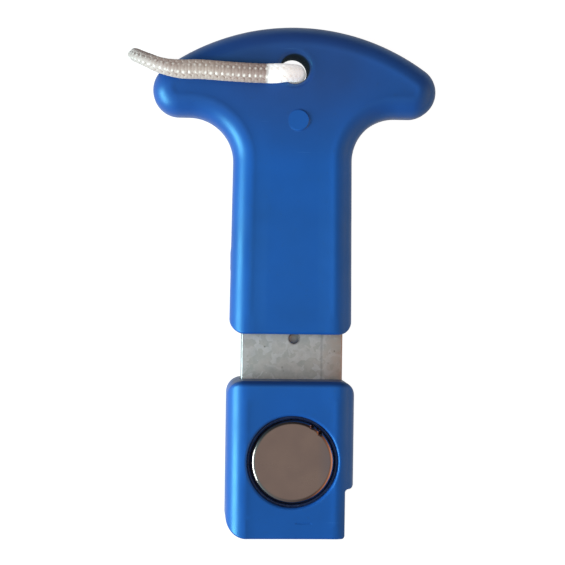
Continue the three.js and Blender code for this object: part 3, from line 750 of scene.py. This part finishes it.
# Hot-dip zinc: a 3 mm spangle of paler and greyer crystals, clouded, pitted here and there, browned
# toward the right edge partly by rust and partly as painted shade, with a line that the rolls left and
# soot round the pilot hole.
rust_shade_low_x, rust_shade_high_x = 8.5, 15.2
roll_line_x = 9.6
roll_line_fade = 1.8  # one over how far the line fades to each side
soot_radius, soot_reach = 1.45, 2.1
zinc, tree, shader, place = start_material("hot_dip_galvanised_steel")
place_x = add_node(tree, "ShaderNodeSeparateXYZ", Vector=place)["X"]
warp = add_node(tree, "ShaderNodeTexNoise", Vector=place, Scale=0.26 / mm, Detail=2.0)["Color"]
bent = add_node(tree, "ShaderNodeMix", {"data_type": "RGBA", "blend_type": "ADD"}, i0=0.012,
                i6=place, i7=warp)[2]
cells = add_node(tree, "ShaderNodeTexVoronoi", Vector=bent, Scale=0.33 / mm)["Color"]
cell_tone = add_node(tree, "ShaderNodeSeparateColor", Color=cells)["Red"]
tint = add_node(tree, "ShaderNodeValToRGB", stops=[
    (0.0, linear("#b9bbb8")), (0.5, linear("#c4c3c1")), (1.0, linear("#d0d1d2"))],
    Fac=cell_tone)["Color"]
cloud = add_node(tree, "ShaderNodeTexNoise", Vector=place, Scale=0.42 / mm, Detail=4.0,
                 Roughness=0.65)["Fac"]
dulled = add_node(tree, "ShaderNodeValToRGB", stops=[(0.35, 0.22), (0.6, 0.0)], Fac=cloud)["Color"]
# Toward the right edge the zinc is browned, partly rust and partly painted shade.
edge = add_node(tree, "ShaderNodeMapRange", Value=place_x, From_Min=rust_shade_low_x * mm,
                From_Max=rust_shade_high_x * mm)["Result"]
patchy = add_node(tree, "ShaderNodeValToRGB", stops=[(0.3, 0.45), (0.65, 1.0)], Fac=cloud)["Color"]
rust_shade_mask = add_node(tree, "ShaderNodeMix", multiplying, i0=1.0, i6=edge, i7=patchy)[2]
rust_and_shade = add_node(tree, "ShaderNodeValToRGB", stops=[(0.1, 0.0), (1.0, 0.55)], Fac=rust_shade_mask)["Color"]
pits = add_node(tree, "ShaderNodeTexVoronoi", Vector=place, Scale=0.42 / mm)["Distance"]
pits = add_node(tree, "ShaderNodeValToRGB", stops=[(0.06, 1.0), (0.16, 0.0)], Fac=pits)["Color"]
rare = add_node(tree, "ShaderNodeTexNoise", Vector=place, Scale=0.15 / mm, Detail=1.0)["Fac"]
rare = add_node(tree, "ShaderNodeValToRGB", stops=[(0.52, 0.0), (0.6, 1.0)], Fac=rare)["Color"]
pitted = add_node(tree, "ShaderNodeMix", multiplying, i0=1.0, i6=pits, i7=rare)[2]
off_line = add_node(tree, "ShaderNodeMath", {"operation": "SUBTRACT"}, i0=place_x,
                    i1=roll_line_x * mm)[0]
off_line = add_node(tree, "ShaderNodeMath", {"operation": "ABSOLUTE"}, i0=off_line)[0]
off_line = add_node(tree, "ShaderNodeMath", {"operation": "MULTIPLY"}, i0=off_line,
                    i1=roll_line_fade / mm)[0]
rolled_line = add_node(tree, "ShaderNodeValToRGB", stops=[(0.1, 0.38), (1.0, 0.0)],
                       Fac=off_line)["Color"]
from_pilot = add_node(tree, "ShaderNodeVectorMath", {"operation": "DISTANCE"}, i0=place,
                      i1=(pilot_x * mm, pilot_y * mm, bar_high * mm))["Value"]
soot = add_node(tree, "ShaderNodeMapRange", Value=from_pilot, From_Min=soot_radius * mm,
                From_Max=soot_reach * mm, To_Min=1.0, To_Max=0.0)["Result"]
for share, colour in ((dulled, "#9a9c9c"), (rust_and_shade, "#98735c"), (pitted, "#5d5a57"),
                      (rolled_line, "#77777a"), (soot, "#5b5355")):
    tint = add_node(tree, "ShaderNodeMix", mixing, i0=share, i6=tint, i7=linear(colour))[2]
rough = add_node(tree, "ShaderNodeValToRGB", stops=[(0.3, 0.62), (0.7, 0.42)], Fac=cloud)["Color"]
height = add_node(tree, "ShaderNodeMath", {"operation": "MULTIPLY_ADD"}, i0=pitted, i1=-1.0,
                  i2=cloud)[0]
relief = add_node(tree, "ShaderNodeBump", Strength=0.3, Distance=0.1 * mm, Height=height)["Normal"]
set_inputs(tree, shader, Base_Color=tint, Metallic=0.75, Roughness=rough, Normal=relief)

corners, faces = box_tool(bar_left, bar_right, bar_end_y, bar_top_y, bar_low, bar_high)
bar = add_piece("flat_bar", corners, faces, zinc)
shape = bmesh.new()
shape.from_mesh(bar.data)
bmesh.ops.bevel(shape, geom=shape.edges[:], offset=bar_chamfer * mm, segments=3, affect="EDGES")
shape.to_mesh(bar.data)
shape.free()
drilled = [turned([(0, bar_high - pilot_depth), (pilot_radius, bar_high - pilot_depth + 0.6),
                   (pilot_radius, bar_high - 0.3), (pilot_radius + 0.9, bar_high + 1),
                   (0, bar_high + 1)], pilot_x, pilot_y, 32),
           box_tool(cut_x, bar_right + 1, bar_end_y - 1, cut_y, bar_low - 1, bar_high + 1)]
drilled += [turned([(0, bar_low - 1), (bar_hole, bar_low - 1), (bar_hole, bar_high + 1),
                    (0, bar_high + 1)], x, y, 24) for x, y in grip_screws[3:] + block_screws]
cut_away(bar, *drilled)
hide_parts("core_bar")

# ------------------------------------------------------------------ magnet block
# Two more halves in the same blue polypropylene, over the other end of the bar: the front one
# has the magnet's pocket, and a step in its right flank by the free end.
block_depth = 12.7
block_half = 19.25
block_low_y = -77.1
block_top_corner, block_low_corner = 4.8, 6.2
block_top_round, block_low_round = 2.0, 1.0
notch_x, notch_y = 16.45, -62.2
notch_round = 0.4
notch_corner, notch_shoulder = 1.0, 1.5  # radii in plan, by the free end and at the flank
magnet_x, magnet_y = 0.5, -54.0  # centred on the bar
pocket_radius = 13.75
pocket_round = 0.8
nick_x, nick_y, nick_length, nick_width, nick_depth = 4.0, -72.3, 4.2, 0.45, 0.16


def block_outline():
    """The block in plan, counter-clockwise from its right side, with its stepped flank."""
    top, low = block_top_corner, block_low_corner
    roof, foot = block_top_round, block_low_round
    left, right = -block_half, block_half
    corner, shoulder = notch_corner, notch_shoulder
    foot_x, foot_y = notch_x - corner, block_low_y + corner
    step = (notch_round, notch_round)
    return (straight(right, notch_y + shoulder, right, block_top_y - top)
            + arc(right - top, block_top_y - top, top, 0, math.pi / 2, (0.0, roof))
            + straight(right - top, block_top_y, left + top, block_top_y, (roof, roof))
            + arc(left + top, block_top_y - top, top, math.pi / 2, math.pi, (roof, 0.0))
            + straight(left, block_top_y - top, left, block_low_y + low)
            + arc(left + low, block_low_y + low, low, math.pi, 1.5 * math.pi, (0.0, foot))
            + straight(left + low, block_low_y, foot_x, block_low_y, (foot, foot))
            + arc(foot_x, foot_y, corner, 1.5 * math.pi, 2 * math.pi, (foot, notch_round))
            + straight(notch_x, foot_y, notch_x, notch_y - corner, step)
            + arc(notch_x + corner, notch_y - corner, corner, math.pi, math.pi / 2, step)
            + straight(notch_x + corner, notch_y, right - shoulder, notch_y, step)
            + arc(right - shoulder, notch_y + shoulder, shoulder, -math.pi / 2, 0, (notch_round, 0.0)))


body = block_outline()
body_closed = np.array(body + body[:1])
body_path, body_rounds = body_closed[:, :2], body_closed[:, 2]


def block_surface(points, is_front):
    """Depth of the block's face from the mid-plane."""
    inset = block_half - np.abs(points[:, 0])
    depth = block_depth - roll_drop(inset, side_roll) - end_drop(points, body_path, body_rounds)
    if is_front:
        depth -= sunken(inset)
        from_pocket = np.linalg.norm(points - (magnet_x, magnet_y), axis=1) - pocket_radius
        depth -= roll_drop(from_pocket, pocket_round)
        aside = np.clip(np.abs(points[:, 0] - nick_x) - nick_length / 2, 0, None)
        depth -= nick_depth * np.exp(-((points[:, 1] - nick_y) ** 2 + aside ** 2) / nick_width ** 2 * 4)
    else:
        for x, y in block_screws:
            depth -= roll_drop(np.linalg.norm(points - (x, y), axis=1) - head_space, head_lead)
    return depth


nick_points = [(nick_x + x, nick_y + y) for x in np.arange(-2.75, 2.8, 0.25)
               for y in np.arange(-0.6, 0.65, 0.12)]
pocket = (magnet_x, magnet_y, pocket_radius, pocket_round)
block_front = half_moulding("block_front", body, [pocket], lambda p: block_surface(p, True), True,
                            plastic, [nick_points])
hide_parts("block_front_shell")
cut_away(block_front, *bar_space)
block_rear = half_moulding("block_rear", body,
                           [(x, y, head_space, head_lead) for x, y in block_screws],
                           lambda p: block_surface(p, False), False, plastic)
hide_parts("block_rear_shell")
cut_away(block_rear, *bar_space)

# ------------------------------------------------------------------ magnet
# A 25.4 by 10 mm neodymium disc, nickel plated, a little below the face. The plating mirrors what is
# over it and has chipped at the rim, where the dark sintered alloy shows.
magnet_radius = 12.7
magnet_low, magnet_high = 15.0, 25.0
magnet_edge = 1.8
magnet_sides = 300
rim_tint_low, rim_tint_high = 10.9, 12.0  # right of the centre, where the painted reflection tint on the rim begins and is full
chips = [(61, 12.1, 0.62), (47, 12.0, 0.75), (53, 12.4, 0.45)]  # angle, radius, size
chip_depth = 0.45
hair_run = (90.0, 4200.0, 90.0)  # fine scratches 11 mm long and 0.24 mm apart, in patches per metre

# Bright nickel, smeared and finely scratched; the right of the rim is painted duller and bluer, a painted
# reflection colour.
nickel, tree, shader, place = start_material("nickel_plating")
smears = add_node(tree, "ShaderNodeTexNoise", Vector=place, Scale=0.16 / mm, Detail=3.0)["Fac"]
plate = add_node(tree, "ShaderNodeValToRGB", stops=[(0.3, linear("#9a8881")), (0.7, linear("#a28f86"))],
                 Fac=smears)["Color"]
place_x = add_node(tree, "ShaderNodeSeparateXYZ", Vector=place)["X"]
rim_reflection_tint = add_node(tree, "ShaderNodeValToRGB", stops=[
    ((magnet_x + rim_tint_low) * mm, 0.0), ((magnet_x + rim_tint_high) * mm, 1.0)], Fac=place_x)["Color"]
lost = add_node(tree, "ShaderNodeAttribute", {"attribute_name": "chipped"})["Fac"]
for share, colour in ((rim_reflection_tint, "#708096"), (lost, "#2e2724")):
    plate = add_node(tree, "ShaderNodeMix", mixing, i0=share, i6=plate, i7=linear(colour))[2]
stretch = add_node(tree, "ShaderNodeMapping", Vector=place, Rotation=(0, 0, 1.1),
                   Scale=hair_run)["Vector"]
hairs = add_node(tree, "ShaderNodeTexNoise", Vector=stretch, Scale=1.0, Detail=2.0)["Fac"]
fine = add_node(tree, "ShaderNodeValToRGB", stops=[(0.66, 0.0), (0.76, 0.12)], Fac=hairs)["Color"]
rough = add_node(tree, "ShaderNodeValToRGB", stops=[(0.3, 0.14), (0.7, 0.22)], Fac=smears)["Color"]
rough = add_node(tree, "ShaderNodeMath", {"operation": "ADD"}, i0=rough, i1=fine)[0]
rough = add_node(tree, "ShaderNodeMix", mixing, i0=lost, i6=rough, i7=[0.8, 0.8, 0.8, 1])[2]
relief = add_node(tree, "ShaderNodeBump", Strength=0.08, Distance=0.04 * mm, Height=hairs)["Normal"]
set_inputs(tree, shader, Base_Color=plate, Metallic=1.0, Roughness=rough, Normal=relief)

profile = [(0, magnet_low)]
for centre, start_turn in ((magnet_low + magnet_edge, -90), (magnet_high - magnet_edge, 0)):
    for i in range(13):
        turn = math.radians(start_turn + i * 7.5)
        profile.append((magnet_radius - magnet_edge + magnet_edge * math.cos(turn),
                        centre + magnet_edge * math.sin(turn)))
profile += [(magnet_radius - magnet_edge - 0.15, magnet_high), (9.0, magnet_high), (0, magnet_high)]
corners, faces = turned(profile, magnet_x, magnet_y, magnet_sides)
corners = np.array(corners)
chipped = np.zeros(len(corners))
for angle, reach, size in chips:
    spot = (magnet_x + reach * math.cos(math.radians(angle)),
            magnet_y + reach * math.sin(math.radians(angle)))
    apart = np.linalg.norm(corners[:, :2] - spot, axis=1)
    ragged = size * (1 + 0.25 * np.sin(7 * np.arctan2(corners[:, 1] - spot[1], corners[:, 0] - spot[0])))
    hit = np.clip(1 - apart / ragged, 0, 1) * (corners[:, 2] > magnet_high - magnet_edge)
    chipped = np.maximum(chipped, np.clip(hit * 4, 0, 1))
    corners[:, 2] -= chip_depth * np.sqrt(hit)
magnet = add_piece("disc_magnet", corners, faces, nickel)
lost_plate = magnet.data.attributes.new("chipped", "FLOAT", "POINT")
lost_plate.data.foreach_set("value", chipped)
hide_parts("magnet_disc")

# ------------------------------------------------------------------ epoxy bond
# Blue-black potting epoxy poured round the magnet: it has crept up both walls and set with a
# hollow, glossy top.
bond_inner, bond_outer = 12.75, 13.7
bond_top = 23.2
bond_hollow = 0.55
bond_sides = 160
epoxy, tree, shader, place = start_material("black_potting_epoxy")
flecks = add_node(tree, "ShaderNodeTexNoise", Vector=place, Scale=1.3 / mm, Detail=3.0)["Fac"]
tint = add_node(tree, "ShaderNodeValToRGB", stops=[(0.3, linear("#162443")), (0.7, linear("#20345c"))],
                Fac=flecks)["Color"]
rough = add_node(tree, "ShaderNodeValToRGB", stops=[(0.3, 0.22), (0.7, 0.45)], Fac=flecks)["Color"]
relief = add_node(tree, "ShaderNodeBump", Strength=0.3, Distance=0.1 * mm, Height=flecks)["Normal"]
set_inputs(tree, shader, Base_Color=tint, Roughness=rough, IOR=1.55, Normal=relief)
section = [(bond_inner, magnet_low), (bond_outer, magnet_low)]
for i in range(9):
    share = i / 8
    radius = bond_outer + (bond_inner - bond_outer) * share
    section.append((radius, bond_top + bond_hollow * (2 * share - 1) ** 2))
corners, faces = [], []
for j in range(bond_sides):
    a = 2 * math.pi * j / bond_sides
    creep = 0.12 * math.sin(3 * a + 1) + 0.08 * math.sin(8 * a) + 0.05 * math.sin(19 * a + 2)
    corners += [(magnet_x + r * math.cos(a), magnet_y + r * math.sin(a), z + creep * (i > 1))
                for i, (r, z) in enumerate(section)]
faces = [face[::-1] for face in tube_faces(bond_sides, len(section))]
bond = add_piece("epoxy_bond", corners, faces, epoxy)
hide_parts("magnet_bond")

# ------------------------------------------------------------------ screws
# Six zinc-plated pan-head self-tapping screws with a cross recess, driven from behind: four hold
# the handle together and two the block.
screw_radius, head_radius, head_height = 1.5, 2.8, 2.2
head_flat, head_rim = 1.9, 1.2
recess_width, recess_length, recess_depth = 0.9, 3.4, 1.3
thread_pitch, thread_rise = 1.3, 0.22
handle_head_z, block_head_z = 5.5, 0.8
handle_tip, block_tip = 13.0, 22.4

# Bright zinc plate: a bluish silver, yellower and duller where it has tarnished.
bright_zinc, tree, shader, place = start_material("bright_zinc_plated_steel")
tarnish = add_node(tree, "ShaderNodeTexNoise", Vector=place, Scale=0.9 / mm, Detail=4.0)["Fac"]
tint = add_node(tree, "ShaderNodeValToRGB", stops=[
    (0.35, linear("#b9bcc2")), (0.6, linear("#a7a9aa")), (0.75, linear("#8d8576"))],
    Fac=tarnish)["Color"]
rough = add_node(tree, "ShaderNodeValToRGB", stops=[(0.3, 0.26), (0.7, 0.42)], Fac=tarnish)["Color"]
relief = add_node(tree, "ShaderNodeBump", Strength=0.15, Distance=0.05 * mm,
                  Height=tarnish)["Normal"]
set_inputs(tree, shader, Base_Color=tint, Metallic=1.0, Roughness=rough, Normal=relief)


def screw_pattern(name, length):
    """One screw with its head down at the origin, as an object that is only a pattern."""
    profile = [(0, 0), (head_flat, 0)]
    for i in range(1, 7):
        turn = math.radians(i * 15)
        profile.append((head_flat + (head_radius - head_flat) * math.sin(turn),
                        head_rim * (1 - math.cos(turn))))
    profile += [(head_radius, head_height), (screw_radius, head_height)]
    z = head_height
    while z < length - 3:
        profile += [(screw_radius - thread_rise, z + 0.3 * thread_pitch),
                    (screw_radius - thread_rise, z + 0.7 * thread_pitch), (screw_radius, z + thread_pitch)]
        z += thread_pitch
    profile += [(0.35, length - 0.15), (0, length)]
    corners, faces = turned(profile, 0, 0, 40)
    pattern = add_piece(name, corners, faces, bright_zinc)
    arm, reach = recess_width / 2, recess_length / 2
    cut_away(pattern, box_tool(-reach, reach, -arm, arm, -1, recess_depth),
             box_tool(-arm, arm, -reach, reach, -1, recess_depth))
    return pattern


def set_screws(name, pattern, places, depth):
    """Geometry nodes that set one screw at each place, each turned as it came to rest."""
    points = bpy.data.meshes.new(name)
    points.from_pydata([(x * mm, y * mm, depth * mm) for x, y in places], [], [])
    piece = bpy.data.objects.new(name, points)
    bpy.context.scene.collection.objects.link(piece)
    tree = bpy.data.node_groups.new(name, "GeometryNodeTree")
    inputs = {}
    for label, kind, value in (("Geometry", "NodeSocketGeometry", None),
                               ("Screw", "NodeSocketObject", pattern),
                               ("Seed", "NodeSocketInt", 7), ("Size", "NodeSocketFloat", 1.0),
                               ("Finish", "NodeSocketMaterial", bright_zinc)):
        inputs[label] = (tree.interface.new_socket(label, in_out="INPUT", socket_type=kind), value)
    tree.interface.new_socket("Geometry", in_out="OUTPUT", socket_type="NodeSocketGeometry")
    start = add_node(tree, "NodeGroupInput")
    one = add_node(tree, "GeometryNodeObjectInfo", {"transform_space": "RELATIVE"},
                   Object=start["Screw"])["Geometry"]
    rest = add_node(tree, "FunctionNodeRandomValue", {"data_type": "FLOAT"}, i3=math.pi,
                    Seed=start["Seed"])[1]
    turn = add_node(tree, "ShaderNodeCombineXYZ", Z=rest)["Vector"]
    spots = add_node(tree, "GeometryNodeMeshToPoints", Mesh=start["Geometry"])["Points"]
    placed = add_node(tree, "GeometryNodeInstanceOnPoints", Points=spots, Instance=one,
                      Rotation=turn, Scale=start["Size"])["Instances"]
    real = add_node(tree, "GeometryNodeRealizeInstances", Geometry=placed)["Geometry"]
    done = add_node(tree, "GeometryNodeSetMaterial", Geometry=real, Material=start["Finish"])["Geometry"]
    add_node(tree, "NodeGroupOutput", Geometry=done)
    modifier = piece.modifiers.new("set", "NODES")
    modifier.node_group = tree
    for socket, value in inputs.values():
        if value is not None:
            modifier[socket.identifier] = value
    bpy.context.view_layer.update()
    made = bpy.data.meshes.new_from_object(
        piece.evaluated_get(bpy.context.evaluated_depsgraph_get()))
    piece.modifiers.remove(modifier)
    piece.data = made
    made.name = name
    made.shade_smooth()
    made.set_sharp_from_angle(angle=math.radians(crease))
    return piece


for name, places, depth, length, nodes in (
        ("handle_screws", grip_screws, handle_head_z, handle_tip,
         ["handle_screw_arm_left", "handle_screw_arm_right", "handle_screw_upper",
          "handle_screw_lower"]),
        ("block_screws", block_screws, block_head_z, block_tip,
         ["block_screw_left", "block_screw_right"])):
    pattern = screw_pattern(name + "_pattern", length)
    piece = set_screws(name, pattern, places, depth)
    bpy.data.objects.remove(pattern)
    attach(piece, "tool_body")
    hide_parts(*nodes)

# ------------------------------------------------------------------ floor and light
# A pale sweep, a tall cool window low on the left, a soft ceiling, and a room that gloss shows as
# bluish on the left and dark, then warm, on the right.
sweep_reach, sweep_z = 6.0, -0.0004  # in metres
seen_glow, mirrored_glow = 0.93, 0.45  # how bright the sweep is to the camera and in a gloss
paper, tree, shader, place = start_material("white_sweep")
rays = add_node(tree, "ShaderNodeLightPath")
mirrored = add_node(tree, "ShaderNodeMath", {"operation": "MAXIMUM"}, i0=rays["Is Glossy Ray"],
                    i1=rays["Is Transmission Ray"])[0]
mirrored = add_node(tree, "ShaderNodeMath", {"operation": "MULTIPLY"}, i0=mirrored,
                    i1=mirrored_glow)[0]
glow = add_node(tree, "ShaderNodeMath", {"operation": "MULTIPLY_ADD"}, i0=rays["Is Camera Ray"],
                i1=seen_glow, i2=mirrored)[0]
set_inputs(tree, shader, Base_Color=(0.22, 0.22, 0.225, 1), Roughness=0.9,
           Emission_Color=(1, 1, 1, 1), Emission_Strength=glow)
floor_mesh = bpy.data.meshes.new("sweep")
floor_mesh.from_pydata([(x * sweep_reach, y * sweep_reach, sweep_z)
                        for x, y in ((-1, -1), (1, -1), (1, 1), (-1, 1))], [], [(0, 1, 2, 3)])
floor_mesh.materials.append(paper)
floor = bpy.data.objects.new("sweep", floor_mesh)
bpy.context.scene.collection.objects.link(floor)

room = bpy.data.worlds.new("studio")
bpy.context.scene.world = room
room.use_nodes = True
tree = room.node_tree
way = add_node(tree, "ShaderNodeTexCoord")["Generated"]
way = add_node(tree, "ShaderNodeSeparateXYZ", Vector=way)
aside = add_node(tree, "ShaderNodeMapRange", Value=way["X"], From_Min=-1.0, From_Max=1.0)["Result"]
walls = add_node(tree, "ShaderNodeValToRGB", stops=[
    (0.0, (0.55, 1.0, 1.1, 1)), (0.25, (0.30, 0.45, 0.50, 1)), (0.42, (0.32, 0.35, 0.37, 1)),
    (0.68, (0.15, 0.13, 0.125, 1)), (0.8, (0.75, 0.38, 0.2, 1)), (1.0, (2.4, 1.15, 0.6, 1))],
    Fac=aside)["Color"]
far_side = add_node(tree, "ShaderNodeValToRGB", stops=[(0.0, 1.0), (0.5, 0.2)], Fac=way["Y"])["Color"]
walls = add_node(tree, "ShaderNodeMix", multiplying, i0=1.0, i6=walls, i7=far_side)[2]
plain = add_node(tree, "ShaderNodeValToRGB", stops=[
    (0.0, (0.52, 0.54, 0.56, 1)), (0.6, (0.30, 0.29, 0.28, 1)), (1.0, (0.50, 0.38, 0.32, 1))],
    Fac=aside)["Color"]
overhead = add_node(tree, "ShaderNodeValToRGB", stops=[(0.80, 0.0), (0.95, 1.0)], Fac=way["Z"])["Color"]
rays = add_node(tree, "ShaderNodeLightPath")
sky = plain
for share, colour in ((rays["Is Glossy Ray"], walls), (overhead, (0.50, 0.47, 0.45, 1)),
                      (rays["Is Camera Ray"], (1, 1, 1, 1))):
    sky = add_node(tree, "ShaderNodeMix", mixing, i0=share, i6=sky, i7=colour)[2]
set_inputs(tree, tree.nodes["Background"], Color=sky)


def soft_light(name, place, aim, size, power, colour):
    """An area lamp at a place, in metres, turned to its aim and out of the camera's sight."""
    lamp = bpy.data.lights.new(name, "AREA")
    lamp.shape = "RECTANGLE"
    lamp.size, lamp.size_y = size
    lamp.energy = power
    lamp.color = colour
    holder = bpy.data.objects.new(name, lamp)
    holder.location = place
    holder.rotation_euler = (Vector(aim) - Vector(place)).to_track_quat("-Z", "Y").to_euler()
    holder.visible_camera = False
    bpy.context.scene.collection.objects.link(holder)
    return holder


soft_light("window", place=(-0.50, -0.15, 0.18), aim=(0.0, -0.02, 0.01), size=(0.42, 0.26),
           power=5.1, colour=(0.74, 0.96, 1.0))
ceiling = soft_light("ceiling", place=(0.0, 0.002, 0.17), aim=(0.0, 0.002, 0.0), size=(0.08, 0.08),
                     power=0.07, colour=(1.0, 0.99, 0.97))
ceiling.visible_glossy = False

bpy.context.scene.view_settings.view_transform = "Standard"
